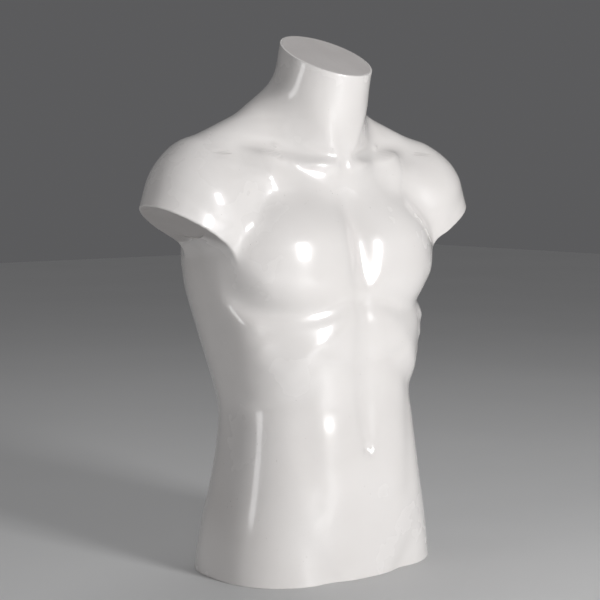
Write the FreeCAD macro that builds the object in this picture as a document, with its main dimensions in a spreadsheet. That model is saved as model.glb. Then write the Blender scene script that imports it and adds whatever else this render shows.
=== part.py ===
import FreeCAD, Part
import math
import os

import Sketcher

# A hollow glass-fibre display torso: a male trunk with a slanted neck cut, two short shoulder
# caps and a flat rim at the hips. Two laminated half shells meet at the sides and are taped
# together inside. Plates close the neck and the arms, and a recessed plywood board near the rim
# carries a steel socket, with a clamp screw, for a stand pole.
# Millimetres. +Z up, the chest faces -Y, +X is the figure's left. The rim stands on z = 0.

DOC = FreeCAD.newDocument("DisplayTorso")
SHEET = DOC.addObject("Spreadsheet::Sheet", "Sizes")

# Cross-sections of the trunk from the rim up. Each is a superellipse with its own depth to the
# front and to the back of its centre.
COLUMNS = ("height", "half_width", "front_depth", "back_depth", "centre_y", "squareness")
LEVELS = {
    "rim": (0, 168, 124, 114, -5, 2.60),
    "hip": (60, 161, 119, 109, -7, 2.55),
    "belly": (120, 150, 115, 102, -10, 2.45),
    "waist": (190, 140, 109, 96, -11, 2.40),
    "flank": (230, 139, 108, 97, -8, 2.40),
    "low_ribs": (320, 157, 117, 113, 2, 2.55),
    "ribs": (390, 172, 117, 119, 9, 2.65),
    "chest": (450, 174, 104, 115, 13, 2.55),
    "armpit": (510, 160, 84, 96, 14, 2.30),
    "shoulder": (560, 116, 64, 62, 12, 2.20),
    "neck_root": (600, 72, 44, 40, 8, 2.10),
}

SIZES = {
    # blend radii between the masses
    "midline_round": 6,
    "girdle_blend": 42,
    "yoke_blend": 24,
    "neck_blend": 34,
    "chest_blend": 32,
    "arm_blend": 38,
    "armpit_blend": 14,
    "armpit_reach": 45,
    "arm_edge_round": 8,
    "stub_blend": 16,
    "stub_top_round": 60,
    "trunk_top": 610,
    # shoulder girdle, a tapering rod from the neck root to the shoulder
    "girdle_in_x": 22,
    "girdle_in_y": 22,
    "girdle_in_z": 604,
    "girdle_in_radius": 36,
    "girdle_out_x": 178,
    "girdle_out_y": 6,
    "girdle_out_z": 536,
    "girdle_out_radius": 40,
    # yoke, the muscle that carries the chest out to the front of the shoulder
    "yoke_in_x": 108,
    "yoke_in_y": -30,
    "yoke_in_z": 520,
    "yoke_in_radius": 31,
    "yoke_out_x": 176,
    "yoke_out_y": -17,
    "yoke_out_z": 497,
    "yoke_out_radius": 44,
    # neck, an oval column that leans forward, and the plane that cuts it
    "neck_foot_y": 2,
    "neck_foot_z": 545,
    "neck_head_y": -48,
    "neck_head_z": 740,
    "neck_half_width": 63,
    "neck_half_depth": 64,
    "neck_cut_z": 701.1,
    "neck_cut_slope": 27,
    "neck_cap_thickness": 4,
    # chest muscle and shoulder muscle, as ellipsoids
    "chest_x": 78,
    "chest_y": -38,
    "chest_z": 430,
    "chest_radius_x": 92,
    "chest_radius_y": 72,
    "chest_radius_z": 66,
    "chest_turn": 12,
    "deltoid_x": 197,
    "deltoid_y": -6,
    "deltoid_z": 478,
    "deltoid_radius_x": 63,
    "deltoid_radius_y": 62,
    "deltoid_radius_z": 80,
    "deltoid_tilt": 20,
    # short stub of the upper arm under the shoulder muscle, an oval column square to the cut
    "stub_x": 198,
    "stub_y": -8,
    "stub_z": 479,
    "stub_half_width": 67,
    "stub_half_depth": 57,
    "stub_rise": 6,
    # the plane that cuts each arm, and the oval plate set in it
    "arm_cut_x": 262,
    "arm_cut_z": 486,
    "arm_cut_slope": 60,
    "arm_cap_inset": 39,
    "arm_cap_y": -7,
    "arm_cap_half_length": 48,
    "arm_cap_half_width": 37,
    "arm_cap_thickness": 3,
    # laminate
    "wall": 3.5,
    "glue_gap": 0.15,
    "parting_y": -2,
    "tape_thickness": 1.2,
    "tape_width": 48,
    "side_tape_foot": 120,
    "side_tape_top": 410,
    "side_tape_in": 100,
    "shoulder_tape_foot": 500,
    "shoulder_tape_top": 670,
    "shoulder_tape_in": 50,
    # blocks that trim the form: larger than it every way
    "trim_reach": 300,
    "trim_depth": 60,
    "opening_outside": 9,
    "opening_inside": 10,
    # recessed board, and the blocks it is screwed to
    "board_z": 70,
    "board_thickness": 15,
    "cleat_centre_y": -7,
    "cleat_height": 28,
    "cleat_length": 56,
    "cleat_depth": 60,
    "side_cleat_bearing": 0,
    "side_cleat_reach": 128,
    "back_cleat_bearing": 55,
    "back_cleat_reach": 90,
    "front_cleat_bearing": -55,
    "front_cleat_reach": 102,
    "screw_radius": 2.0,
    "screw_head_radius": 4.0,
    "screw_head_height": 2.6,
    "screw_point": 5,
    "screw_length": 36,
    "screw_inset": 13,
    "pilot_gap": 0.05,
    # stand fitting
    "flange_radius": 52,
    "flange_thickness": 5,
    "bolt_circle_radius": 40,
    "first_bolt_bearing": 45,
    "socket_bore_radius": 12.9,
    "socket_radius": 16.9,
    "socket_depth": 54,
    "socket_chamfer": 1,
    "bolt_radius": 3.0,
    "bolt_hole_radius": 3.3,
    "bolt_head_flats": 10,
    "bolt_head_height": 4,
    "bolt_length": 24,
    "washer_radius": 6.2,
    "washer_thickness": 1.6,
    "tee_nut_radius": 9.5,
    "tee_nut_disc": 1.5,
    "tee_nut_barrel_radius": 4.2,
    "tee_nut_barrel": 12,
    "tee_nut_bore_radius": 3.1,
    "tee_nut_hole_radius": 4.3,
    # clamp screw, which points at the pole from behind, with a pad that swivels on its tip
    "clamp_z": 36,
    "boss_radius": 9,
    "boss_start": 12,
    "boss_end": 28,
    "tapped_radius": 4.05,
    "clamp_screw_radius": 3.98,
    "clamp_screw_start": 16.6,
    "clamp_screw_length": 27.9,
    "stem_bore_radius": 1.5,
    "stem_bore_depth": 3.5,
    "pad_start": 13.2,
    "pad_radius": 3.7,
    "pad_thickness": 3.2,
    "pad_stem_radius": 1.4,
    "pad_stem_length": 3.3,
    "knob_start": 33.5,
    "knob_length": 14,
    "knob_radius": 15,
    "knob_round": 2,
    "knob_end_wall": 3,
    "knob_fit": 0.02,
    "knob_notch_radius": 5,
    "knob_notch_reach": 17,
}

BOLT_COUNT = 4
NOTCH_COUNT = 6
SIDES = {"left": 1, "right": -1}

# Fineness of the free-form skins.
RING_COUNT = 90
RING_COLUMNS = 40
RAYS = 48
HEIGHT_STEP = 4
SPREAD = 1.5
SKIN_FOOT = -24
SKIN_TOP = 752
LEAST_SLOPE = 0.35
FIRST_GUESS = 40
GUESS_MARGIN = 25


def fill_sheet():
    """Write every driving size to the sheet under its own alias."""
    rows = dict(SIZES)
    for level, values in LEVELS.items():
        for column, value in zip(COLUMNS, values):
            rows[f"{level}_{column}"] = value
    for row, (alias, value) in enumerate(rows.items(), start=1):
        SHEET.set(f"A{row}", alias)
        SHEET.set(f"B{row}", str(value))
        SHEET.setAlias(f"B{row}", alias)
    DOC.recompute()


fill_sheet()


def size(alias):
    """A driving size, read back from the sheet."""
    return float(SHEET.get(alias))


def bind(item, **expressions):
    """Bind properties of an object to expressions on the sheet's aliases."""
    for path, expression in expressions.items():
        item.setExpression(path, expression)


# ---------------------------------------------------------------- the body's outer form

def level_table():
    """The trunk's sections, as one list for each column."""
    return [[size(f"{level}_{column}") for level in LEVELS] for column in COLUMNS]


def curve_through(stations, values):
    """A smooth curve through values at uneven stations."""
    slopes = []
    last = len(stations) - 1
    for index in range(last + 1):
        low = max(index - 1, 0)
        high = min(index + 1, last)
        slopes.append((values[high] - values[low]) / (stations[high] - stations[low]))

    def value_at(place):
        place = min(max(place, stations[0]), stations[-1])
        index = 0
        while index < last - 1 and place > stations[index + 1]:
            index += 1
        span = stations[index + 1] - stations[index]
        part = (place - stations[index]) / span
        rise = values[index + 1] - values[index]
        bend = slopes[index] * span - rise
        other_bend = rise - slopes[index + 1] * span
        lean = bend * (1 - part) + other_bend * part
        return values[index] + part * rise + part * (1 - part) * lean

    return value_at


def blend(first, second, radius):
    """The smaller of two distances, with the corner between them rounded."""
    share = min(max(0.5 + 0.5 * (second - first) / radius, 0.0), 1.0)
    return second * (1 - share) + first * share - radius * share * (1 - share)


def trim(first, second, radius):
    """The larger of two distances, with the corner between them rounded."""
    return -blend(-first, -second, radius)


def ellipsoid(point, centre, radii, axes):
    """Distance to an ellipsoid turned to the given axes."""
    offset = [point[i] - centre[i] for i in range(3)]
    local = [sum(offset[i] * axis[i] for i in range(3)) for axis in axes]
    scaled = math.sqrt(sum((local[i] / radii[i]) ** 2 for i in range(3)))
    steepness = math.sqrt(sum((local[i] / radii[i] ** 2) ** 2 for i in range(3)))
    return scaled * (scaled - 1) / max(steepness, 1e-9)


def tapered_rod(point, start, end, start_radius, end_radius):
    """Distance to a rod with round ends that tapers from start to end."""
    along = [end[i] - start[i] for i in range(3)]
    offset = [point[i] - start[i] for i in range(3)]
    length_squared = sum(value * value for value in along)
    share = sum(along[i] * offset[i] for i in range(3)) / length_squared
    share = min(max(share, 0.0), 1.0)
    gap = math.sqrt(sum((offset[i] - share * along[i]) ** 2 for i in range(3)))
    return gap - (start_radius + (end_radius - start_radius) * share)


PARTING_Y = size("parting_y")


class BodyForm:
    """The torso's outer form, as the distance of a point from it (negative inside)."""

    def __init__(self):
        stations, *columns = level_table()
        self.curves = [curve_through(stations, column) for column in columns]
        self.girdle = self.rod("girdle")
        self.yoke = self.rod("yoke")
        self.chest = [size(f"chest_{axis}") for axis in "xyz"]
        self.chest_radii = [size(f"chest_radius_{axis}") for axis in "xyz"]
        turn = math.radians(size("chest_turn"))
        self.chest_axes = (
            (math.cos(turn), math.sin(turn), 0),
            (-math.sin(turn), math.cos(turn), 0),
            (0, 0, 1),
        )
        self.deltoid = [size(f"deltoid_{axis}") for axis in "xyz"]
        self.deltoid_radii = [size(f"deltoid_radius_{axis}") for axis in "xyz"]
        tilt = math.radians(size("deltoid_tilt"))
        self.deltoid_axes = (
            (math.cos(tilt), 0, -math.sin(tilt)),
            (0, 1, 0),
            (math.sin(tilt), 0, math.cos(tilt)),
        )
        slope = math.radians(size("arm_cut_slope"))
        self.arm_cut = (size("arm_cut_x"), size("arm_cut_z"))
        self.arm_out = (math.cos(slope), -math.sin(slope))
        self.stub_centre = [size(f"stub_{axis}") for axis in "xyz"]
        self.stub_radii = (size("stub_half_width"), size("stub_half_depth"))
        self.stub_rise = size("stub_rise")
        self.armpit_reach = size("armpit_reach")
        self.neck_foot = (size("neck_foot_y"), size("neck_foot_z"))
        rise = size("neck_head_z") - self.neck_foot[1]
        run = size("neck_head_y") - self.neck_foot[0]
        self.neck_length = math.hypot(rise, run)
        self.neck_axis = (run / self.neck_length, rise / self.neck_length)
        self.neck_radii = (size("neck_half_width"), size("neck_half_depth"))
        self.round = {name: size(name) for name in SIZES if name.endswith(("blend", "round"))}
        self.trunk_top = size("trunk_top")

    def rod(self, name):
        """The two ends of a tapered rod and its radii there."""
        ends = [tuple(size(f"{name}_{end}_{axis}") for axis in "xyz") for end in ("in", "out")]
        return ends + [size(f"{name}_in_radius"), size(f"{name}_out_radius")]

    def section(self, height):
        """The trunk's superellipse at one height."""
        return [curve(height) for curve in self.curves]

    def trunk(self, x, y, z, section):
        half_width, front, back, centre, power = section
        offset = y - centre
        depth = 0.5 * (front + back) + 0.5 * (back - front) * math.tanh(offset / 45)
        scaled = ((abs(x) / half_width) ** power + (abs(offset) / depth) ** power) ** (1 / power)
        across = math.hypot(x, offset) * (1 - 1 / max(scaled, 0.05))
        return max(0.85 * across, 0.7 * (z - self.trunk_top))

    def neck(self, x, y, z):
        rise = z - self.neck_foot[1]
        run = y - self.neck_foot[0]
        along = run * self.neck_axis[0] + rise * self.neck_axis[1]
        side = run * self.neck_axis[1] - rise * self.neck_axis[0]
        scaled = math.hypot(x / self.neck_radii[0], side / self.neck_radii[1])
        return max(math.hypot(x, side) * (1 - 1 / max(scaled, 0.05)), -along)

    def stub(self, x, y, z):
        run = x - self.stub_centre[0]
        rise = z - self.stub_centre[2]
        across = y - self.stub_centre[1]
        along = run * self.arm_out[0] + rise * self.arm_out[1]
        side = rise * self.arm_out[0] - run * self.arm_out[1]
        scaled = math.hypot(side / self.stub_radii[0], across / self.stub_radii[1])
        column = math.hypot(side, across) * (1 - 1 / max(scaled, 0.05))
        return trim(column, -along - self.stub_rise, self.round["stub_top_round"])

    def distance(self, x, y, z, section):
        side_x = math.sqrt(x * x + self.round["midline_round"] ** 2)
        point = (side_x, y, z)
        far = self.trunk(x, y, z, section)
        far = blend(far, tapered_rod(point, *self.girdle), self.round["girdle_blend"])
        far = blend(far, tapered_rod(point, *self.yoke), self.round["yoke_blend"])
        far = blend(far, self.neck(x, y, z), self.round["neck_blend"])
        chest = ellipsoid(point, self.chest, self.chest_radii, self.chest_axes)
        far = blend(far, chest, self.round["chest_blend"])
        arm = ellipsoid(point, self.deltoid, self.deltoid_radii, self.deltoid_axes)
        arm = blend(arm, self.stub(side_x, y, z), self.round["stub_blend"])
        beyond = (side_x - self.arm_cut[0]) * self.arm_out[0]
        beyond += (z - self.arm_cut[1]) * self.arm_out[1]
        arm = trim(arm, beyond, self.round["arm_edge_round"])
        inner = min(max(-beyond / self.armpit_reach, 0.0), 1.0)
        inner = inner * inner * (3 - 2 * inner)
        tight = self.round["armpit_blend"]
        return blend(far, arm, tight + (self.round["arm_blend"] - tight) * inner)

    def outward(self, x, y, z):
        """The unit normal of the form at a point of its skin."""
        step = 0.25
        slopes = []
        for shift in ((step, 0, 0), (0, step, 0), (0, 0, step)):
            ends = []
            for sign in (1, -1):
                place = [value + sign * move for value, move in zip((x, y, z), shift)]
                ends.append(self.distance(*place, self.section(place[2])))
            slopes.append(ends[0] - ends[1])
        return FreeCAD.Vector(*slopes).normalize()

    def reach(self, height, bearing, section, guess):
        """How far the skin is from the parting plane's middle line, along one bearing."""
        ray = (math.cos(bearing), math.sin(bearing))

        def far(radius):
            return self.distance(radius * ray[0], PARTING_Y + radius * ray[1], height, section)

        low = 0.0
        high = guess
        high_value = far(high)
        while high_value < 0:
            low = high
            high += 20
            high_value = far(high)
        low_value = far(low)
        middle = low
        for _ in range(12):
            middle = low + (high - low) * low_value / (low_value - high_value)
            value = far(middle)
            if abs(value) < 1e-5:
                break
            if value < 0:
                low = middle
                low_value = value
                high_value *= 0.5
            else:
                high = middle
                high_value = value
                low_value *= 0.5
        return middle


FORM = BodyForm()


def skin_point(bearing, height, section, guess):
    radius = FORM.reach(height, bearing, section, guess)
    return radius * math.cos(bearing), PARTING_Y + radius * math.sin(bearing)


def quarter_ring(height, side):
    """Evenly spaced points from the left side round to the middle of the front (side -1) or of
    the back (side +1), on one level."""
    section = FORM.section(height)
    bearings = [side * 0.5 * math.pi * index / RAYS for index in range(RAYS + 1)]
    points = []
    guess = FIRST_GUESS
    for bearing in bearings:
        points.append(skin_point(bearing, height, section, guess))
        guess = max(math.dist(points[-1], (0, PARTING_Y)) - GUESS_MARGIN, GUESS_MARGIN)
    lengths = [0.0]
    for before, after in zip(points, points[1:]):
        lengths.append(lengths[-1] + math.dist(before, after))
    spaced = []
    for column in range(RING_COLUMNS // 2 + 1):
        place = interpolated(lengths, bearings, lengths[-1] * 2 * column / RING_COLUMNS)
        spaced.append(skin_point(place, height, section, GUESS_MARGIN))
    spaced[0] = (spaced[0][0], PARTING_Y)
    spaced[-1] = (0.0, spaced[-1][1])
    return spaced


def interpolated(stations, values, place):
    """The value at a place on straight lines through stations and values."""
    index = 0
    while index < len(stations) - 2 and stations[index + 1] < place:
        index += 1
    share = (place - stations[index]) / (stations[index + 1] - stations[index])
    return values[index] + share * (values[index + 1] - values[index])


def ring_heights():
    """Heights of the rings, closer together where the outline runs outwards."""
    count = round((SKIN_TOP - SKIN_FOOT) / HEIGHT_STEP)
    heights = [SKIN_FOOT + HEIGHT_STEP * index for index in range(count + 1)]
    widths = [skin_point(0.0, max(z, 0.0), FORM.section(z), FIRST_GUESS)[0] for z in heights]
    lengths = [0.0]
    for index in range(count):
        spread = SPREAD * (widths[index + 1] - widths[index])
        lengths.append(lengths[-1] + math.hypot(HEIGHT_STEP, spread))
    steps = [lengths[-1] * step / RING_COUNT for step in range(RING_COUNT + 1)]
    return [interpolated(lengths, heights, step) for step in steps]


def measured_half(side):
    """Skin points of one half, each with the step that sets it in by one millimetre of wall.
    The steps run level and towards the middle, so that every set-in skin still closes at the
    parting plane and can't cross itself."""
    rows = []
    for height in HEIGHTS:
        level = max(height, 0.0)
        row = []
        for x, y in quarter_ring(level, side):
            outward = FORM.outward(x, y, level)
            ray = FreeCAD.Vector(x, y - PARTING_Y, 0).normalize()
            step = ray * (-1 / max(outward.dot(ray), LEAST_SLOPE))
            row.append((FreeCAD.Vector(x, y, height), step))
        mirrored = [(mirror_x(point), mirror_x(step)) for point, step in reversed(row[:-1])]
        rows.append(row + mirrored)
    return rows


def mirror_x(vector):
    return FreeCAD.Vector(-vector.x, vector.y, vector.z)


HEIGHTS = ring_heights()
HALVES = {"front": measured_half(-1), "back": measured_half(1)}


def chord_places(lines):
    """Shared parameters, from 0 to 1, for lines of points that one family of curves follows."""
    count = len(lines[0])
    totals = [0.0] * count
    for line in lines:
        for index in range(1, count):
            totals[index] += math.sqrt(line[index - 1].distanceToPoint(line[index]))
    places = [0.0]
    for total in totals[1:]:
        places.append(places[-1] + total)
    return [place / places[-1] for place in places]


def curve_on(points, places):
    curve = Part.BSplineCurve()
    curve.interpolate(Points=points, Parameters=places)
    return curve


def skin_surface(grid, row_places, column_places):
    """The smooth surface through a grid of points, made of curves along its rows and then of
    curves through those curves' poles."""
    rows = [curve_on(row, column_places) for row in grid]
    columns = [curve_on(list(line), row_places) for line in zip(*[row.getPoles() for row in rows])]
    surface = Part.BSplineSurface()
    surface.buildFromPolesMultsKnots(
        [column.getPoles() for column in columns],
        rows[0].getMultiplicities(),
        columns[0].getMultiplicities(),
        rows[0].getKnots(),
        columns[0].getKnots(),
        False,
        False,
        rows[0].Degree,
        columns[0].Degree,
    )
    return surface


ROW_PLACES = chord_places([list(line) for line in zip(*[[p for p, _ in row] for row in HALVES["front"]])])
COLUMN_PLACES = {
    half: chord_places([[point for point, _ in row] for row in rows]) for half, rows in HALVES.items()
}


def half_skin(half, depth):
    """The skin of one half, set in by a depth of wall, and the lines of its four edges."""
    grid = [[point + step * depth for point, step in row] for row in HALVES[half]]
    surface = skin_surface(grid, ROW_PLACES, COLUMN_PLACES[half])
    first_column, last_column, first_row, last_row = surface.bounds()
    edges = {
        "foot": surface.vIso(first_row).toShape(),
        "top": surface.vIso(last_row).toShape(),
        "left": surface.uIso(first_column).toShape(),
        "right": surface.uIso(last_column).toShape(),
    }
    return surface.toShape(), edges


def flat_face(*edges):
    return Part.Face(Part.Wire(Part.__sortEdges__(list(edges))))


def closed_solid(faces):
    shell = Part.Shell(faces)
    shell.sewShape()
    solid = Part.Solid(shell)
    if solid.Volume < 0:
        solid.reverse()
    return solid


def half_solid(half, depth):
    """One half of the torso, solid up to the parting plane."""
    skin, edges = half_skin(half, depth)
    ends = {}
    for name in ("foot", "top"):
        vertices = edges[name].Vertexes
        ends[name] = Part.makeLine(vertices[0].Point, vertices[1].Point)
    foot = flat_face(edges["foot"], ends["foot"])
    top = flat_face(edges["top"], ends["top"])
    parting = flat_face(edges["left"], ends["top"], edges["right"], ends["foot"])
    return closed_solid([skin, foot, top, parting])


def whole_solid(depth):
    """The whole torso, solid."""
    front, front_edges = half_skin("front", depth)
    back, back_edges = half_skin("back", depth)
    foot = flat_face(front_edges["foot"], back_edges["foot"])
    top = flat_face(front_edges["top"], back_edges["top"])
    return closed_solid([front, back, foot, top])


# ---------------------------------------------------------------- document helpers

def add(kind, label, **expressions):
    """A document object with its own label and its sizes bound to the sheet."""
    item = DOC.addObject(kind, label)
    item.Label = label
    bind(item, **expressions)
    return item


def form_object(label, shape):
    """A free-form solid as a document object."""
    item = add("Part::Feature", label)
    item.Shape = shape
    item.Placement = FreeCAD.Placement()
    return item


def cut(label, base, *tools):
    """Cut each tool from the base in turn."""
    for number, tool in enumerate(tools):
        last = number == len(tools) - 1
        item = add("Part::Cut", label if last else f"{label}_stage_{number}")
        item.Base = base
        item.Tool = tool
        base = item
    return base


def common(label, base, tool):
    item = add("Part::Common", label)
    item.Base = base
    item.Tool = tool
    return item


def gather(label, items, kind="Part::Compound"):
    """A compound, or with kind Part::MultiFuse a union, of separate objects."""
    item = add(kind, label)
    if kind == "Part::Compound":
        item.Links = items
    else:
        item.Shapes = items
    return item


def slab(label, length, width, height, x, y, z):
    """A box given by its lowest corner, all as expressions."""
    return place(add("Part::Box", label, Length=length, Width=width, Height=height), x, y, z)


def origin_plane(body, role):
    return next(item for item in body.Origin.OriginFeatures if item.Role == role)


def new_sketch(body, name, role="XZ_Plane"):
    sketch = body.newObject("Sketcher::SketchObject", name)
    sketch.AttachmentSupport = (origin_plane(body, role), [""])
    sketch.MapMode = "FlatFace"
    return sketch


def turned(label, outline):
    """A body turned about its own Z axis. The outline lists its corners as pairs of radius and
    height expressions, the way a lathe drawing does."""
    body = DOC.addObject("PartDesign::Body", label)
    body.Label = label
    sketch = new_sketch(body, f"{label}_profile")
    radii = [present_value(radius) for radius, _ in outline]
    heights = [present_value(height) for _, height in outline]
    corners = [FreeCAD.Vector(radius, height, 0) for radius, height in zip(radii, heights)]
    count = len(corners)
    for index in range(count):
        sketch.addGeometry(Part.LineSegment(corners[index], corners[(index + 1) % count]))
    for index in range(count):
        following = (index + 1) % count
        sketch.addConstraint(Sketcher.Constraint("Coincident", index, 2, following, 1))
    for index, (radius, height) in enumerate(outline):
        if radius == "0":
            sketch.addConstraint(Sketcher.Constraint("PointOnObject", index, 1, -2))
        else:
            bound_length(sketch, "DistanceX", index, radius, radii[index])
        if height == "0":
            sketch.addConstraint(Sketcher.Constraint("PointOnObject", index, 1, -1))
        else:
            bound_length(sketch, "DistanceY", index, height, heights[index])
    revolution = body.newObject("PartDesign::Revolution", f"{label}_turning")
    revolution.Profile = sketch
    revolution.ReferenceAxis = (sketch, ["V_Axis"])
    revolution.Angle = 360
    sketch.Visibility = False
    return body


def present_value(expression):
    """The present value of an expression on the sheet."""
    return float(SHEET.evalExpression(expression.replace("Sizes.", "")))


def bound_length(sketch, kind, line, expression, value):
    """Hold a line's start at a bound distance from the sketch's origin."""
    number = sketch.addConstraint(Sketcher.Constraint(kind, -1, 1, line, 1, value))
    sketch.setExpression(f"Constraints[{number}]", expression)


def place(item, x="0", y="0", z="0", axis=(0, 0, 1), angle="0"):
    """Bind where an object stands and how far it is turned about an axis."""
    item.Placement = FreeCAD.Placement(FreeCAD.Vector(), FreeCAD.Rotation(FreeCAD.Vector(*axis), 1))
    for path, expression in (("x", x), ("y", y), ("z", z)):
        item.setExpression(f".Placement.Base.{path}", expression)
    item.setExpression(".Placement.Rotation.Angle", expression_angle(angle))
    return item


def expression_angle(angle):
    return f"({angle}) * 1deg"


def copies(label, master, places):
    """Copies of one piece as separate solids in one object. Each place holds place()'s values."""
    links = []
    for number, values in enumerate(places):
        link = add("App::Link", f"{label}_{number}")
        link.LinkedObject = master
        links.append(place(link, **values))
    return gather(label, links)


def cylinder(label, radius, height, **where):
    return place(add("Part::Cylinder", label, Radius=radius, Height=height), **where)


def oval_plate(label, half_length, half_width, thickness, top):
    """An oval plate in its own XY plane, long along Y, whose upper face is at the height top."""
    body = DOC.addObject("PartDesign::Body", label)
    body.Label = label
    sketch = new_sketch(body, f"{label}_outline", "XY_Plane")
    long_end = FreeCAD.Vector(0, present_value(half_length), 0)
    wide_end = FreeCAD.Vector(present_value(half_width), 0, 0)
    oval = sketch.addGeometry(Part.Ellipse(long_end, wide_end, FreeCAD.Vector()))
    sketch.exposeInternalGeometry(oval)
    long_axis = oval + 1
    wide_axis = oval + 2
    sketch.addConstraint(Sketcher.Constraint("Coincident", oval, 3, -1, 1))
    sketch.addConstraint(Sketcher.Constraint("Vertical", long_axis))
    for axis, half in ((long_axis, half_length), (wide_axis, half_width)):
        number = sketch.addConstraint(Sketcher.Constraint("Distance", axis, 2 * present_value(half)))
        sketch.setExpression(f"Constraints[{number}]", f"2 * ({half})")
    sketch.setExpression(".AttachmentOffset.Base.z", top)
    pad = body.newObject("PartDesign::Pad", f"{label}_pad")
    pad.Profile = sketch
    pad.Reversed = True
    pad.setExpression("Length", thickness)
    return body


# ---------------------------------------------------------------- half shells and neck cut

front_solid = form_object("front_form", half_solid("front", 0))
back_solid = form_object("back_form", half_solid("back", 0))
front_core = form_object("front_core", half_solid("front", size("wall")))
back_core = form_object("back_core", half_solid("back", size("wall")))
lining = form_object("lining_form", whole_solid(size("wall") + size("glue_gap")))

NECK_TURN = "Sizes.neck_cut_slope * 1deg"


def neck_block(label, top, height):
    """A block square to the neck cut, with its upper face at the height top above the cut."""
    block = add(
        "Part::Box",
        label,
        Length="2 * Sizes.trim_reach",
        Width="2 * Sizes.trim_reach",
        Height=height,
    )
    below = f"({top} - ({height}))"
    return place(
        block,
        x="-Sizes.trim_reach",
        y=f"-Sizes.trim_reach * cos({NECK_TURN}) - {below} * sin({NECK_TURN})",
        z=f"Sizes.neck_cut_z - Sizes.trim_reach * sin({NECK_TURN}) + {below} * cos({NECK_TURN})",
        axis=(1, 0, 0),
        angle="Sizes.neck_cut_slope",
    )


above_neck = neck_block("above_neck", "Sizes.trim_depth * 2", "Sizes.trim_depth * 2")
below_rim = slab(
    "below_rim",
    "2 * Sizes.trim_reach",
    "2 * Sizes.trim_reach",
    "Sizes.trim_depth",
    "-Sizes.trim_reach",
    "-Sizes.trim_reach",
    "-Sizes.trim_depth",
)


# ---------------------------------------------------------------- arm plates and openings

def on_arm_cut(body, sign):
    """Lay a plate in the plane of an arm cut, its own +Z out of the arm."""
    slope = "Sizes.arm_cut_slope * 1deg"
    return place(
        body,
        x=f"{sign} * (Sizes.arm_cut_x - Sizes.arm_cap_inset * sin({slope}))",
        y="Sizes.arm_cap_y",
        z=f"Sizes.arm_cut_z - Sizes.arm_cap_inset * cos({slope})",
        axis=(0, 1, 0),
        angle=f"{sign} * (90 + Sizes.arm_cut_slope)",
    )


arm_openings = []
for side, sign in SIDES.items():
    arm_cap = oval_plate(
        f"{side}_arm_cap",
        "Sizes.arm_cap_half_length",
        "Sizes.arm_cap_half_width",
        "Sizes.arm_cap_thickness",
        "0",
    )
    on_arm_cut(arm_cap, sign)
    opening = oval_plate(
        f"{side}_arm_opening",
        "Sizes.arm_cap_half_length + Sizes.glue_gap",
        "Sizes.arm_cap_half_width + Sizes.glue_gap",
        "Sizes.opening_outside + Sizes.opening_inside",
        "Sizes.opening_outside",
    )
    arm_openings.append(on_arm_cut(opening, sign))

cut("front_shell", front_solid, front_core, below_rim, above_neck, *arm_openings)
cut("back_shell", back_solid, back_core, below_rim, above_neck, *arm_openings)

neck_slice = neck_block("neck_slice", "0", "Sizes.neck_cap_thickness")
common("neck_cap", lining, neck_slice)


# ---------------------------------------------------------------- tapes inside the seams

tape_core = form_object(
    "tape_core", whole_solid(size("wall") + size("glue_gap") + size("tape_thickness"))
)
tape_layer = cut("tape_layer", lining, tape_core)
for side, sign in SIDES.items():
    for run in ("side", "shoulder"):
        reach = f"(Sizes.trim_reach - Sizes.{run}_tape_in)"
        start = f"Sizes.{run}_tape_in" if sign > 0 else "-Sizes.trim_reach"
        strip = slab(
            f"{side}_{run}_strip",
            reach,
            "Sizes.tape_width",
            f"Sizes.{run}_tape_top - Sizes.{run}_tape_foot",
            start,
            "Sizes.parting_y - Sizes.tape_width / 2",
            f"Sizes.{run}_tape_foot",
        )
        common(f"{side}_{run}_seam_tape", tape_layer, strip)


# ---------------------------------------------------------------- board, blocks and screws

BOARD_TOP = "(Sizes.board_z + Sizes.board_thickness)"


def cleat_places(out, along, height):
    """Where things stand at each block: so far out from its inner face, so far to its side."""
    places = []
    for row in ("side", "back", "front"):
        for sign in SIDES.values():
            turn = f"Sizes.{row}_cleat_bearing"
            bearing = turn if sign > 0 else f"(180 - {turn})"
            radial = f"(Sizes.{row}_cleat_reach + {out})"
            cosine = f"cos({bearing} * 1deg)"
            sine = f"sin({bearing} * 1deg)"
            places.append(
                {
                    "x": f"{radial} * {cosine} - {along} * {sine}",
                    "y": f"Sizes.cleat_centre_y + {radial} * {sine} + {along} * {cosine}",
                    "z": height,
                    "angle": bearing,
                }
            )
    return places


block = add(
    "Part::Box",
    "cleat_blank",
    Length="Sizes.cleat_depth",
    Width="Sizes.cleat_length",
    Height="Sizes.cleat_height",
)
cleat_blanks = copies("cleat_blanks", block, cleat_places("0", "(-Sizes.cleat_length / 2)", BOARD_TOP))

board_screw = turned(
    "board_screw",
    [
        ("0", "0"),
        ("Sizes.screw_head_radius", "0"),
        ("Sizes.screw_radius", "Sizes.screw_head_height"),
        ("Sizes.screw_radius", "Sizes.screw_length - Sizes.screw_point"),
        ("0", "Sizes.screw_length"),
    ],
)
pilot = turned(
    "screw_hole",
    [
        ("0", "-Sizes.pilot_gap"),
        ("Sizes.screw_head_radius + Sizes.pilot_gap", "-Sizes.pilot_gap"),
        ("Sizes.screw_head_radius + Sizes.pilot_gap", "0"),
        ("Sizes.screw_radius + Sizes.pilot_gap", "Sizes.screw_head_height"),
        ("Sizes.screw_radius + Sizes.pilot_gap", "Sizes.screw_length"),
        ("0", "Sizes.screw_length + Sizes.pilot_gap"),
    ],
)
screw_places = cleat_places("Sizes.screw_inset", "0", "Sizes.board_z")
copies("board_screws", board_screw, screw_places)
screw_holes = copies("screw_holes", pilot, screw_places)


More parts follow.
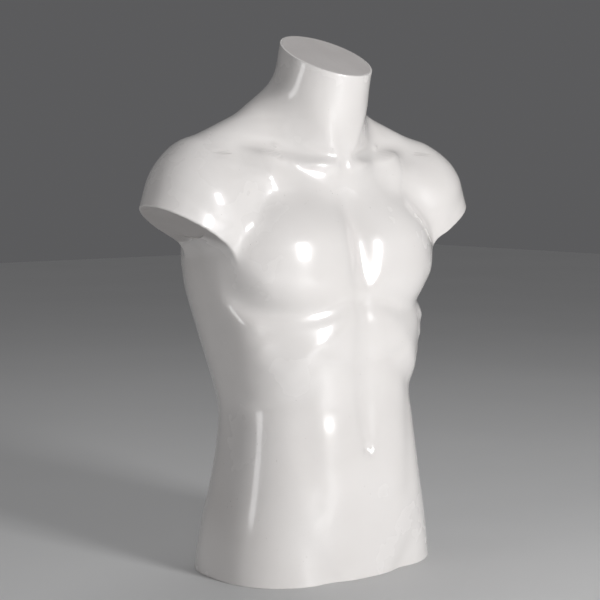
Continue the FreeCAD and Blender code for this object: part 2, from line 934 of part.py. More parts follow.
def bolt_places(height):
    """The bolts' places round the socket, at one height."""
    places = []
    for number in range(BOLT_COUNT):
        bearing = f"(Sizes.first_bolt_bearing + {360 * number // BOLT_COUNT}) * 1deg"
        places.append(
            {
                "x": f"Sizes.bolt_circle_radius * cos({bearing})",
                "y": f"Sizes.bolt_circle_radius * sin({bearing})",
                "z": height,
            }
        )
    return places


tee_nut_hole = cylinder("tee_nut_hole", "Sizes.tee_nut_hole_radius", "Sizes.board_thickness")
tee_nut_holes = copies("tee_nut_holes", tee_nut_hole, bolt_places("Sizes.board_z"))

board_slice = slab(
    "board_slice",
    "2 * Sizes.trim_reach",
    "2 * Sizes.trim_reach",
    "Sizes.board_thickness",
    "-Sizes.trim_reach",
    "-Sizes.trim_reach",
    "Sizes.board_z",
)
board_blank = common("board_blank", lining, board_slice)
cut("base_board", board_blank, tee_nut_holes, screw_holes)
fitted_cleats = common("fitted_cleats", lining, cleat_blanks)
cut("board_cleats", fitted_cleats, screw_holes)


# ---------------------------------------------------------------- flange, bolts and nuts

FLANGE_FOOT = "(Sizes.board_z - Sizes.flange_thickness)"
flange_blank = cylinder(
    "flange_blank", "Sizes.flange_radius", "Sizes.flange_thickness", z=FLANGE_FOOT
)
bolt_hole = cylinder("bolt_hole", "Sizes.bolt_hole_radius", "Sizes.flange_thickness")
bolt_holes = copies("bolt_holes", bolt_hole, bolt_places(FLANGE_FOOT))
cut("stand_flange", flange_blank, bolt_holes)

washer = turned(
    "flange_washer",
    [
        ("Sizes.bolt_hole_radius", "0"),
        ("Sizes.washer_radius", "0"),
        ("Sizes.washer_radius", "Sizes.washer_thickness"),
        ("Sizes.bolt_hole_radius", "Sizes.washer_thickness"),
    ],
)
WASHER_FOOT = f"({FLANGE_FOOT} - Sizes.washer_thickness)"
copies("flange_washers", washer, bolt_places(WASHER_FOOT))

bolt_head = add("Part::Prism", "bolt_head", Height="Sizes.bolt_head_height")
bolt_head.Polygon = 6
bind(bolt_head, Circumradius="Sizes.bolt_head_flats / sqrt(3)")
bolt_shank = cylinder(
    "bolt_shank", "Sizes.bolt_radius", "Sizes.bolt_length", z="Sizes.bolt_head_height"
)
flange_bolt = gather("flange_bolt", [bolt_head, bolt_shank], "Part::MultiFuse")
copies("flange_bolts", flange_bolt, bolt_places(f"{WASHER_FOOT} - Sizes.bolt_head_height"))

NUT_TOP = "(Sizes.tee_nut_barrel + Sizes.tee_nut_disc)"
tee_nut = turned(
    "tee_nut",
    [
        ("Sizes.tee_nut_bore_radius", "0"),
        ("Sizes.tee_nut_barrel_radius", "0"),
        ("Sizes.tee_nut_barrel_radius", "Sizes.tee_nut_barrel"),
        ("Sizes.tee_nut_radius", "Sizes.tee_nut_barrel"),
        ("Sizes.tee_nut_radius", NUT_TOP),
        ("Sizes.tee_nut_bore_radius", NUT_TOP),
    ],
)
copies("tee_nuts", tee_nut, bolt_places(f"{BOARD_TOP} - Sizes.tee_nut_barrel"))


# ---------------------------------------------------------------- socket and clamp screw

def towards_back(item, start):
    """Lay an upright piece along +Y, at the clamp screw's height."""
    return place(item, y=start, z="Sizes.clamp_z", axis=(1, 0, 0), angle="-90")


socket_tube = turned(
    "socket_tube",
    [
        ("Sizes.socket_bore_radius + Sizes.socket_chamfer", "0"),
        ("Sizes.socket_radius", "0"),
        ("Sizes.socket_radius", "Sizes.socket_depth"),
        ("Sizes.socket_bore_radius", "Sizes.socket_depth"),
        ("Sizes.socket_bore_radius", "Sizes.socket_chamfer"),
    ],
)
SOCKET_FOOT = f"{FLANGE_FOOT} - Sizes.socket_depth"
place(socket_tube, z=SOCKET_FOOT)
tapped_hole = add(
    "Part::Cylinder", "tapped_hole", Radius="Sizes.tapped_radius", Height="Sizes.boss_end + 1"
)
towards_back(tapped_hole, "0")
cut("stand_socket", socket_tube, tapped_hole)

boss_blank = add(
    "Part::Cylinder",
    "boss_blank",
    Radius="Sizes.boss_radius",
    Height="Sizes.boss_end - Sizes.boss_start",
)
towards_back(boss_blank, "Sizes.boss_start")
saddle = cylinder("boss_saddle", "Sizes.socket_radius", "Sizes.socket_depth", z=SOCKET_FOOT)
cut("clamp_boss", boss_blank, saddle, tapped_hole)

pressure_pad = turned(
    "pressure_pad",
    [
        ("0", "0"),
        ("Sizes.pad_radius", "0"),
        ("Sizes.pad_radius", "Sizes.pad_thickness"),
        ("Sizes.pad_stem_radius", "Sizes.pad_thickness"),
        ("Sizes.pad_stem_radius", "Sizes.pad_thickness + Sizes.pad_stem_length"),
        ("0", "Sizes.pad_thickness + Sizes.pad_stem_length"),
    ],
)
towards_back(pressure_pad, "Sizes.pad_start")

clamp_screw = turned(
    "clamp_screw",
    [
        ("Sizes.stem_bore_radius", "0"),
        ("Sizes.clamp_screw_radius", "0"),
        ("Sizes.clamp_screw_radius", "Sizes.clamp_screw_length"),
        ("0", "Sizes.clamp_screw_length"),
        ("0", "Sizes.stem_bore_depth"),
        ("Sizes.stem_bore_radius", "Sizes.stem_bore_depth"),
    ],
)
towards_back(clamp_screw, "Sizes.clamp_screw_start")

knob_blank = turned(
    "knob_blank",
    [
        ("Sizes.clamp_screw_radius + Sizes.knob_fit", "0"),
        ("Sizes.knob_radius - Sizes.knob_round", "0"),
        ("Sizes.knob_radius", "Sizes.knob_round"),
        ("Sizes.knob_radius", "Sizes.knob_length - Sizes.knob_round"),
        ("Sizes.knob_radius - Sizes.knob_round", "Sizes.knob_length"),
        ("0", "Sizes.knob_length"),
        ("0", "Sizes.knob_length - Sizes.knob_end_wall"),
        ("Sizes.clamp_screw_radius + Sizes.knob_fit", "Sizes.knob_length - Sizes.knob_end_wall"),
    ],
)
notch = cylinder("knob_notch", "Sizes.knob_notch_radius", "Sizes.knob_length")
notches = copies(
    "knob_notches",
    notch,
    [
        {
            "x": f"Sizes.knob_notch_reach * cos({360 * number // NOTCH_COUNT}deg)",
            "y": f"Sizes.knob_notch_reach * sin({360 * number // NOTCH_COUNT}deg)",
        }
        for number in range(NOTCH_COUNT)
    ],
)
towards_back(cut("clamp_knob", knob_blank, notches), "Sizes.knob_start")


# ---------------------------------------------------------------- check and write

NODES = (
    "front_shell",
    "back_shell",
    "neck_cap",
    "left_arm_cap",
    "right_arm_cap",
    "left_side_seam_tape",
    "right_side_seam_tape",
    "left_shoulder_seam_tape",
    "right_shoulder_seam_tape",
    "base_board",
    "board_cleats",
    "board_screws",
    "stand_flange",
    "stand_socket",
    "clamp_boss",
    "flange_bolts",
    "flange_washers",
    "tee_nuts",
    "pressure_pad",
    "clamp_screw",
    "clamp_knob",
)

DOC.recompute()
for item in DOC.Objects:
    if "Invalid" in item.State or "Error" in item.State:
        raise RuntimeError(f"{item.Label} failed: {item.State}")

os.makedirs("parts", exist_ok=True)
for node in NODES:
    shape = DOC.getObjectsByLabel(node)[0].Shape
    if shape.isNull() or not shape.isValid():
        raise RuntimeError(f"{node} has no valid shape")
    shape.exportStep(f"parts/{node}.step")
    box = shape.BoundBox
    print(
        f"{node}: {len(shape.Solids)} solids, {shape.Volume / 1000:.1f} cm3,"
        f" z {box.ZMin:.1f} to {box.ZMax:.1f}"
    )
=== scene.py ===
import math

import bmesh
import bpy
import numpy as np
from mathutils import Matrix, Vector


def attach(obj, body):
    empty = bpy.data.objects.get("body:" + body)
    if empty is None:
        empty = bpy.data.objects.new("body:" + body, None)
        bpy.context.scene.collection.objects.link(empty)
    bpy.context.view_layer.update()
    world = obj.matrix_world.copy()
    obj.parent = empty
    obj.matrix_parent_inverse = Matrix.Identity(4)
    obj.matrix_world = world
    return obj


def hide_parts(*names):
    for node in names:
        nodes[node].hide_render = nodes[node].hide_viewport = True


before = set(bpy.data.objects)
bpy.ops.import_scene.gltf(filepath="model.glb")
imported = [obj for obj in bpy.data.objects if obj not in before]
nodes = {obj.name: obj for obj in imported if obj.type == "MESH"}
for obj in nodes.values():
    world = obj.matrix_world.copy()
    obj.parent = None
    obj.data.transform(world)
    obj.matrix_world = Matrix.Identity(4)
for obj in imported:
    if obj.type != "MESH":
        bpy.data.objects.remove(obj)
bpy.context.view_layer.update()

# ---------------------------------------------------------------- front and back shells
# The body is two half shells of glass mat and resin, each laid up by hand in a mould, trimmed
# flat at the sides, glued and taped together from inside, then filled, sprayed with a glossy
# warm white gel coat and polished, so that the joint hardly shows.

WALL = 3.5
PARTING_Y = -2.0
NECK_Z = 701.1
NECK_LEAN = math.tan(math.radians(27))
ARM_X, ARM_Z = 262.0, 486.0
ARM_SLOPE = math.radians(60)
ARM_EDGE_ROUND = 2.5

# The trunk is rounded off at the top. Rods, balls and a leaning neck are blended into it: each
# has its ends or centre, its radii, and the radius of the blend that joins it to the rest.
TRUNK_TOP_Z, TRUNK_TOP_ROUND = 612, 24
MIDLINE_SOFTNESS = 6
GIRDLE, GIRDLE_BLEND = ((22, 22, 604), (178, 6, 536), 36, 40), 42
YOKE, YOKE_BLEND = ((108, -30, 520), (176, -17, 497), 31, 44), 24
NECK_FOOT, NECK_HEAD = np.array((0, 2, 545.0)), np.array((0, -48, 740.0))
NECK_HALF_WIDTH, NECK_HALF_DEPTH, NECK_BLEND = 63, 64, 34
CHEST, CHEST_TURN, CHEST_BLEND = ((78, -38, 430), (92, 72, 66)), math.radians(12), 32
SHOULDER, SHOULDER_TILT = ((197, -6, 478), (63, 62, 80)), math.radians(20)
STUB_X, STUB_Y, STUB_Z = 198, -8, 479
STUB_HALF_WIDTH, STUB_HALF_DEPTH, STUB_BLEND = 67, 57, 16
STUB_RISE, STUB_TOP_ROUND = 6, 60
ARMPIT_BLEND, ARMPIT_GAIN, ARMPIT_REACH = 18, 20, 45

# height, half width, front depth, back depth, centre, squareness
TRUNK = np.array([
    (0, 168, 124, 114, -5, 2.60),
    (60, 161, 119, 109, -7, 2.55),
    (120, 150, 115, 102, -10, 2.45),
    (190, 140, 109, 96, -11, 2.40),
    (230, 139, 108, 97, -8, 2.40),
    (320, 157, 117, 113, 2, 2.55),
    (390, 172, 117, 119, 9, 2.65),
    (450, 174, 104, 115, 13, 2.55),
    (510, 160, 84, 96, 14, 2.30),
    (560, 116, 64, 62, 12, 2.20),
    (600, 72, 44, 40, 8, 2.10),
])

# Soft strokes of relief: ridges and hollows drawn as lines on the skin, each point with its place,
# the width of the stroke there and how far it rises. Front and back strokes are placed by x and
# z, the others by x, y and z.
FRONT_STROKES = [
    # groove over the breastbone, line down the middle of the belly, and navel
    [(0, 528, 16, -1), (0, 490, 20, -4), (0, 440, 22, -5.5), (0, 390, 20, -4.5), (0, 362, 18, -3)],
    [(0, 352, 18, -3.5), (0, 300, 21, -6), (0, 240, 20, -6), (0, 190, 15, -4.5), (0, 172, 11, -3)],
    [(0, 168, 7, -4.5)],
    # under edge of the chest muscle, out to the armpit, and the fold above it
    [(12, 364, 12, -2), (36, 359, 14, -4), (71, 350, 15, -6), (98, 347, 15, -7),
     (122, 350, 15, -7.5), (143, 358, 15, -7.5), (163, 378, 15, -7), (177, 404, 14, -6),
     (189, 428, 12, -3.5)],
    [(188, 455, 14, 2.5), (170, 418, 16, 3), (150, 394, 16, 2)],
    # fuller lower half of the chest muscle, and its flatter upper half
    [(38, 392, 20, 1.5), (78, 385, 22, 3), (114, 385, 22, 3), (138, 396, 18, 2)],
    [(46, 472, 28, -1.2), (100, 470, 30, -1.8)],
    # fingers of muscle over the ribs
    [(147, 336, 12, 3.5), (165, 350, 12, 2)],
    [(140, 311, 12, 3.2), (158, 326, 12, 2)],
    [(132, 286, 12, 2.2), (148, 300, 12, 1.4)],
    # arch of the ribs and the hollow under it
    [(22, 340, 15, 1), (55, 322, 19, 3), (90, 292, 20, 3.5), (115, 266, 18, 3),
     (130, 250, 14, 1.5)],
    [(60, 280, 16, -1), (95, 252, 18, -3), (124, 235, 18, -3.2), (146, 226, 15, -1.5)],
    # plates of the belly
    [(18, 284, 10, -0.8), (48, 286, 10, -1.4), (74, 294, 10, -0.8)],
    [(90, 238, 14, -1), (88, 180, 17, -1.8), (80, 110, 19, -1.8)],
    # hollow of the groin
    [(90, 50, 16, -0.8), (80, 30, 19, -3), (62, 0, 22, -6.5)],
]
BACK_STROKES = [
    # spine, the muscles beside it, shoulder blades and seat
    [(0, 60, 16, -0.4), (0, 110, 17, -2.2), (0, 190, 19, -7), (0, 330, 20, -8), (0, 440, 20, -6),
     (0, 500, 20, -2.5), (0, 545, 18, -0.2)],
    [(40, 84, 20, 1.5), (40, 150, 22, 4), (38, 230, 24, 4), (40, 300, 24, 2)],
    [(70, 520, 24, 1), (86, 490, 28, 4.5), (96, 430, 28, 5), (88, 380, 24, 2)],
    [(58, 380, 18, -1), (52, 440, 16, -2.5), (54, 500, 16, -2)],
    [(74, 0, 44, 5), (76, 30, 36, 2.5)],
]
ROUND_STROKES = [
    # collar bone and the groove over it
    [(16, -70, 538, 9, 3), (42, -70, 541, 9, 4.5), (70, -62, 546, 9, 4.5), (105, -50, 552, 10, 4),
     (138, -36, 558, 12, 1.4), (156, -28, 562, 13, 0.1)],
    [(20, -66, 553, 8, -2.5), (45, -58, 557, 9, -4.5), (72, -48, 562, 10, -5),
     (104, -36, 568, 10, -4), (136, -27, 573, 11, -1.4), (152, -20, 577, 12, -0.1)],
    # hollow beside the neck, notch of the neck and the strap muscle
    [(52, -54, 578, 15, -1), (84, -36, 582, 17, -2.4), (112, -22, 586, 15, -0.8)],
    [(0, -74, 557, 11, -5), (0, -72, 545, 10, -3)],
    [(14, -70, 558, 10, 1.2), (28, -68, 585, 12, 2.4), (44, -58, 622, 16, 1.6),
     (60, -30, 660, 16, 0.4)],
    # crease between the chest and the shoulder muscle
    [(110, -52, 546, 18, -0.4), (124, -61, 519, 20, -1.2), (138, -68, 485, 20, -1.6),
     (146, -76, 450, 18, -0.8)],
]

# Where the front strokes fade out towards the sides, and where the back ones fade in.
FRONT_EDGE_Y, FRONT_FADE = -32, 9
BACK_EDGE_Y, BACK_FADE = 8, 12


def trunk_at(z):
    """The trunk's section at each height, as smooth curves through the table."""
    heights = TRUNK[:, 0]
    low = np.clip(np.searchsorted(heights, z, side="right") - 1, 0, len(heights) - 2)
    slopes = np.gradient(TRUNK[:, 1:], heights, axis=0, edge_order=1)
    inner = (TRUNK[2:, 1:] - TRUNK[:-2, 1:]) / (heights[2:] - heights[:-2])[:, None]
    slopes[1:-1] = inner
    span = (heights[low + 1] - heights[low])[..., None]
    part = np.clip((np.clip(z, heights[0], heights[-1]) - heights[low])[..., None] / span, 0, 1)
    start, end = TRUNK[low, 1:], TRUNK[low + 1, 1:]
    rise = end - start
    lean = (slopes[low] * span - rise) * (1 - part) + (rise - slopes[low + 1] * span) * part
    return start + part * rise + part * (1 - part) * lean


def blend(first, second, radius):
    """The smaller of two distances, with the corner between them rounded."""
    share = np.clip(0.5 + 0.5 * (second - first) / radius, 0, 1)
    return second * (1 - share) + first * share - radius * share * (1 - share)


def rod(points, start, end, start_radius, end_radius):
    """Distance to a rod with round ends that tapers from start to end."""
    start, along = np.array(start, float), np.subtract(end, start).astype(float)
    offset = points - start
    share = np.clip(offset @ along / (along @ along), 0, 1)
    gap = np.linalg.norm(offset - share[..., None] * along, axis=-1)
    return gap - (start_radius + (end_radius - start_radius) * share)


def ellipsoid(points, centre, radii, turn=0.0, tilt=0.0):
    """Distance to an ellipsoid, turned about z and then tilted about y."""
    offset = points - np.array(centre, float)
    axes = np.array((Matrix.Rotation(turn, 3, "Z") @ Matrix.Rotation(tilt, 3, "Y")))
    offset = offset @ axes
    scaled = np.linalg.norm(offset / radii, axis=-1)
    steepness = np.linalg.norm(offset / np.square(radii), axis=-1)
    return scaled * (scaled - 1) / np.maximum(steepness, 1e-9)


def drawn_out(stroke):
    """A stroke's points, filled in along a smooth curve at about half its width apart."""
    stroke = np.array(stroke, float)
    if len(stroke) == 1:
        return stroke
    ends = np.concatenate([2 * stroke[:1] - stroke[1:2], stroke, 2 * stroke[-1:] - stroke[-2:-1]])
    filled = []
    for a, b, c, d in zip(ends, ends[1:], ends[2:], ends[3:]):
        count = math.ceil(np.linalg.norm((c - b)[:-2]) / (0.5 * b[-2]))
        t = (np.arange(count) / count)[:, None]
        bend = (2 * a - 5 * b + 4 * c - d) * t * t + (3 * b - a - 3 * c + d) * t ** 3
        filled.append(b + 0.5 * ((c - a) * t + bend))
    return np.concatenate(filled + [stroke[-1:]])


FRONT_STROKES = [drawn_out(line) for line in FRONT_STROKES]
BACK_STROKES = [drawn_out(line) for line in BACK_STROKES]
ROUND_STROKES = [drawn_out(line) for line in ROUND_STROKES]


def raised(points, strokes):
    """The sum of the strokes' heights, each taken softly from its nearest points."""
    total = np.zeros(points.shape[:-1])
    for line in strokes:
        far = ((points[..., None, :] - line[:, :-2]) ** 2).sum(-1) / line[:, -2] ** 2
        share = np.exp(-3 * (far - far.min(-1, keepdims=True)))
        total += (share * line[:, -1] * np.exp(-far)).sum(-1) / share.sum(-1)
    return total


def relief(points):
    """How far the strokes lift the skin at each point, worked out a batch at a time."""
    shape = points.shape[:-1]
    points = points.reshape(-1, 3)
    total = np.zeros(len(points))
    for start in range(0, len(points), 4000):
        part = points[start:start + 4000]
        y = part[:, 1]
        front = 1 / (1 + np.exp(np.clip((y - FRONT_EDGE_Y) / FRONT_FADE, -30, 30)))
        back = 1 / (1 + np.exp(np.clip((BACK_EDGE_Y - y) / BACK_FADE, -30, 30)))
        level = part[:, [0, 2]]
        lift = raised(part, ROUND_STROKES)
        lift += front * raised(level, FRONT_STROKES) + back * raised(level, BACK_STROKES)
        total[start:start + 4000] = lift
    return total.reshape(shape)


def body(points, detail=True):
    """Distance of each point from the skin, in millimetres, less than zero inside."""
    x, y, z = points[..., 0], points[..., 1], points[..., 2]
    folded = points.copy()
    folded[..., 0] = np.sqrt(x * x + MIDLINE_SOFTNESS ** 2)
    half_width, front, back, centre, power = np.moveaxis(trunk_at(z), -1, 0)
    offset = y - centre
    depth = 0.5 * (front + back) + 0.5 * (back - front) * np.tanh(offset / 45)
    scaled = ((np.abs(x) / half_width) ** power + (np.abs(offset) / depth) ** power) ** (1 / power)
    across = np.hypot(x, offset) * (1 - 1 / np.maximum(scaled, 0.05))
    far = -blend(-0.85 * across, -0.7 * (z - TRUNK_TOP_Z), TRUNK_TOP_ROUND)
    far = blend(far, rod(folded, *GIRDLE), GIRDLE_BLEND)
    far = blend(far, rod(folded, *YOKE), YOKE_BLEND)
    length = np.linalg.norm(NECK_HEAD - NECK_FOOT)
    axis = (NECK_HEAD - NECK_FOOT) / length
    along = (points - NECK_FOOT) @ axis
    side = (y - NECK_FOOT[1]) * axis[2] - (z - NECK_FOOT[2]) * axis[1]
    oval = np.hypot(x / NECK_HALF_WIDTH, side / NECK_HALF_DEPTH)
    neck = np.maximum(np.hypot(x, side) * (1 - 1 / np.maximum(oval, 0.05)), -along)
    far = blend(far, neck, NECK_BLEND)
    far = blend(far, ellipsoid(folded, *CHEST, turn=CHEST_TURN), CHEST_BLEND)
    arm = ellipsoid(folded, *SHOULDER, tilt=SHOULDER_TILT)
    lean_x, lean_z = math.cos(ARM_SLOPE), math.sin(ARM_SLOPE)
    sink = (folded[..., 0] - STUB_X) * lean_x - (z - STUB_Z) * lean_z
    wide = (folded[..., 0] - STUB_X) * lean_z + (z - STUB_Z) * lean_x
    oval = np.hypot(wide / STUB_HALF_WIDTH, (y - STUB_Y) / STUB_HALF_DEPTH)
    stub = np.hypot(wide, y - STUB_Y) * (1 - 1 / np.maximum(oval, 0.05))
    stub = -blend(-stub, sink + STUB_RISE, STUB_TOP_ROUND)
    arm = blend(arm, stub, STUB_BLEND)
    beyond = (folded[..., 0] - ARM_X) * lean_x - (z - ARM_Z) * lean_z
    arm = -blend(-arm, -beyond, ARM_EDGE_ROUND)
    inner = np.clip(-beyond / ARMPIT_REACH, 0, 1)
    far = blend(far, arm, ARMPIT_BLEND + ARMPIT_GAIN * inner * inner * (3 - 2 * inner))
    return far - relief(folded) if detail else far


def outward(points):
    """Unit normals of the skin."""
    step = 0.3
    slopes = []
    for shift in np.eye(3) * step:
        slopes.append(body(points + shift) - body(points - shift))
    slopes = np.stack(slopes, -1)
    return slopes / np.linalg.norm(slopes, axis=-1, keepdims=True)


def on_rings(height, lean, bearing, reach):
    """Points on level or leaning rings round the body's axis."""
    y = reach * np.sin(bearing)
    return np.stack([reach * np.cos(bearing), PARTING_Y + y, height + lean * y], -1)


def reach_of(height, lean, bearing, detail=True):
    """How far the skin lies from the axis along each bearing."""
    height, lean, bearing = np.broadcast_arrays(height, lean, bearing)
    reach = np.full(bearing.shape, 30.0)
    inside = np.ones(bearing.shape, bool)
    while inside.any():
        reach = np.where(inside, reach + 10, reach)
        inside &= body(on_rings(height, lean, bearing, reach), detail=False) < 0
    low, high = reach - 10, reach
    for _ in range(16):
        middle = 0.5 * (low + high)
        within = body(on_rings(height, lean, bearing, middle), detail=False) < 0
        low, high = np.where(within, middle, low), np.where(within, high, middle)
    if not detail:
        return low
    ends = [body(on_rings(height, lean, bearing, low + move), detail=False) for move in (-1, 1)]
    slope = np.maximum(0.5 * (ends[1] - ends[0]), 0.3)
    for _ in range(8):
        low = low - body(on_rings(height, lean, bearing, low)) / slope
    return low


# Rows and columns of each shell's grid, and the height where its rings begin to lean.
ROWS = 250
COLUMNS = 150
LEAN_FROM = 430
RIM_BEVEL = 0.0011


def half_skin(facing):
    """Rings of points over one quarter, from the left side round to the middle of the front
    (facing -1) or the back (facing 1), evenly spaced along each ring."""
    share = np.linspace(0, 1, ROWS + 1)
    height = np.interp(share, (0, 0.42, 0.87, 1), (0, 420, 602, NECK_Z + PARTING_Y * NECK_LEAN))
    rise = np.clip((height - LEAN_FROM) / (height[-1] - LEAN_FROM), 0, 1)
    lean = NECK_LEAN * rise * rise * (3 - 2 * rise)
    height, lean = height[:, None], lean[:, None]
    rough = facing * np.linspace(0, math.pi / 2, 61)[None, :]
    ring = on_rings(height, lean, rough, reach_of(height, lean, rough, detail=False))
    steps = np.linalg.norm(np.diff(ring, axis=1), axis=-1)
    walked = np.concatenate([np.zeros((ROWS + 1, 1)), np.cumsum(steps, axis=1)], axis=1)
    even = np.linspace(0, 1, COLUMNS // 2 + 1)
    bearing = np.array([np.interp(even * w[-1], w, rough[0]) for w in walked])
    reach = reach_of(height, lean, bearing)
    skin = on_rings(height, lean, bearing, reach)
    ray = on_rings(0 * height, lean, bearing, np.ones_like(reach)) - (0, PARTING_Y, 0)
    slope = np.sum(outward(skin) * ray, axis=-1)
    core = on_rings(height, lean, bearing, reach - WALL / np.maximum(slope, 0.35))
    return skin, core


def make_shell(name, facing):
    """A closed half shell: a grid extruded to two skins, laid on the rings, its rims eased."""
    skin, core = half_skin(facing)
    bm = bmesh.new()
    bmesh.ops.create_grid(bm, x_segments=COLUMNS, y_segments=ROWS, size=0.5)
    column = bm.verts.layers.int.new("column")
    row = bm.verts.layers.int.new("row")
    inside = bm.verts.layers.int.new("inside")
    for v in bm.verts:
        v[column] = round((v.co.x + 0.5) * COLUMNS)
        v[row] = round((v.co.y + 0.5) * ROWS)
    grown = bmesh.ops.extrude_face_region(bm, geom=bm.faces[:], use_keep_orig=True)["geom"]
    for item in grown:
        if isinstance(item, bmesh.types.BMVert):
            item[inside] = 1
    for v in bm.verts:
        index = v[column]
        mirrored = index > COLUMNS // 2
        layer = core if v[inside] else skin
        x, y, z = layer[v[row], COLUMNS - index if mirrored else index]
        v.co = Vector((-x if mirrored else x, y, z)) / 1000
    bmesh.ops.recalc_face_normals(bm, faces=bm.faces[:])
    rims = []
    for e in bm.edges:
        a, b = e.verts
        if a[inside] or b[inside] or a[row] != b[row]:
            continue
        if a[row] in (0, ROWS):
            rims.append(e)
    bmesh.ops.bevel(bm, geom=rims, offset=RIM_BEVEL, segments=3, profile=0.5, affect="EDGES",
                    material=-1)
    for f in bm.faces:
        f.smooth = True
    mesh = bpy.data.meshes.new(name)
    bm.to_mesh(mesh)
    bm.free()
    shell = bpy.data.objects.new(name, mesh)
    bpy.context.scene.collection.objects.link(shell)
    return shell


front_skin = make_shell("front_skin", -1)
back_skin = make_shell("back_skin", 1)

# Each arm cut has an oval opening through the wall, sawn square to the cut.
PLATE_INSET = 39
PLATE_X = ARM_X - PLATE_INSET * math.sin(ARM_SLOPE)
PLATE_Z = ARM_Z - PLATE_INSET * math.cos(ARM_SLOPE)
OPENING_RADII = (0.03715, 0.04815, 1)
OPENING_Y = -0.007
SAW_REACH = 0.010
openings = []
for side in (1, -1):
    bm = bmesh.new()
    bmesh.ops.create_circle(bm, cap_ends=True, segments=128, radius=1)
    bmesh.ops.scale(bm, vec=OPENING_RADII, verts=bm.verts[:])
    bmesh.ops.translate(bm, vec=(0, 0, -SAW_REACH), verts=bm.verts[:])
    grown = bmesh.ops.extrude_face_region(bm, geom=bm.faces[:])["geom"]
    top = [item for item in grown if isinstance(item, bmesh.types.BMVert)]
    bmesh.ops.translate(bm, vec=(0, 0, 2 * SAW_REACH), verts=top)
    bmesh.ops.recalc_face_normals(bm, faces=bm.faces[:])
    turn = Matrix.Rotation(side * (math.pi / 2 + ARM_SLOPE), 4, "Y")
    turn.translation = (side * PLATE_X / 1000, OPENING_Y, PLATE_Z / 1000)
    bm.transform(turn)
    mesh = bpy.data.meshes.new("arm_opening")
    bm.to_mesh(mesh)
    bm.free()
    openings.append(bpy.data.objects.new("arm_opening", mesh))
    bpy.context.scene.collection.objects.link(openings[-1])


def finish_shell(shell):
    """Saw the arm openings, then shade the skin with the form's own normals."""
    for opening in openings:
        sawn = shell.modifiers.new("sawn", "BOOLEAN")
        sawn.operation = "DIFFERENCE"
        sawn.solver = "EXACT"
        sawn.object = opening
    graph = bpy.context.evaluated_depsgraph_get()
    mesh = bpy.data.meshes.new_from_object(shell.evaluated_get(graph))
    shell.modifiers.clear()
    shell.data = mesh
    count = len(mesh.vertices)
    places = np.empty(count * 3)
    mesh.vertices.foreach_get("co", places)
    places = places.reshape(-1, 3) * 1000
    far = body(places)
    normals = np.zeros_like(places)
    on_skin = np.abs(far) < 0.05
    normals[on_skin] = outward(places[on_skin])
    # Mark the sawn cut faces at the arms. The material paints them a darker grey, which is painted
    # shade, and gives them a satin finish.
    gap = (np.abs(places[:, 0]) - ARM_X) * math.cos(ARM_SLOPE)
    gap -= (places[:, 2] - ARM_Z) * math.sin(ARM_SLOPE)
    facing = np.abs(normals[:, 0]) * math.cos(ARM_SLOPE) - normals[:, 2] * math.sin(ARM_SLOPE)
    sawn = np.clip((facing - 0.93) / 0.05, 0, 1) * np.clip(1.8 - np.abs(gap), 0, 1)
    sawn[~on_skin & (np.abs(gap) < 0.5)] = 1
    mesh.attributes.new("sawn_face_satin_and_shade", "FLOAT", "POINT").data.foreach_set("value", sawn)
    bm = bmesh.new()
    bm.from_mesh(mesh)
    for e in bm.edges:
        e.smooth = e.calc_face_angle(0) < 0.7
    for f in bm.faces:
        f.smooth = True
        f.material_index = 1 if all(far[v.index] < -2.0 for v in f.verts) else 0
    bm.to_mesh(mesh)
    bm.free()
    loops = [(0.0, 0.0, 0.0)] * len(mesh.loops)
    for polygon in mesh.polygons:
        if all(on_skin[i] for i in polygon.vertices):
            for loop in polygon.loop_indices:
                loops[loop] = normals[mesh.loops[loop].vertex_index]
    mesh.normals_split_custom_set(loops)


bpy.context.view_layer.update()
finish_shell(front_skin)
finish_shell(back_skin)
for opening in openings:
    bpy.data.objects.remove(opening)


def make_node(tree, kind, settings=None, **inputs):
    """A shader node with its settings and inputs. An input that is a socket is linked."""
    item = tree.nodes.new(kind)
    for name, value in (settings or {}).items():
        setattr(item, name, value)
    for name, value in inputs.items():
        name = name.replace("_", " ")
        socket = item.inputs[int(name[2:])] if name.startswith("n ") else item.inputs[name]
        if isinstance(value, bpy.types.NodeSocket):
            tree.links.new(value, socket)
        else:
            socket.default_value = value
    return item


def new_material(name, **values):
    """A material with one Principled shader whose even values are set on its sockets."""
    material = bpy.data.materials.new(name)
    material.use_nodes = True
    tree = material.node_tree
    shader = next(n for n in tree.nodes if n.type == "BSDF_PRINCIPLED")
    for key, value in values.items():
        shader.inputs[key.replace("_", " ")].default_value = value
    return material, tree, shader


def new_group(name, inputs, outputs):
    """A node group with its sockets, and its input and output nodes."""
    tree = bpy.data.node_groups.new(name, "ShaderNodeTree")
    for label, kind, value in inputs:
        socket = tree.interface.new_socket(label, in_out="INPUT", socket_type=kind)
        if value is not None:
            socket.default_value = value
    for label, kind in outputs:
        tree.interface.new_socket(label, in_out="OUTPUT", socket_type=kind)
    return tree, tree.nodes.new("NodeGroupInput"), tree.nodes.new("NodeGroupOutput")


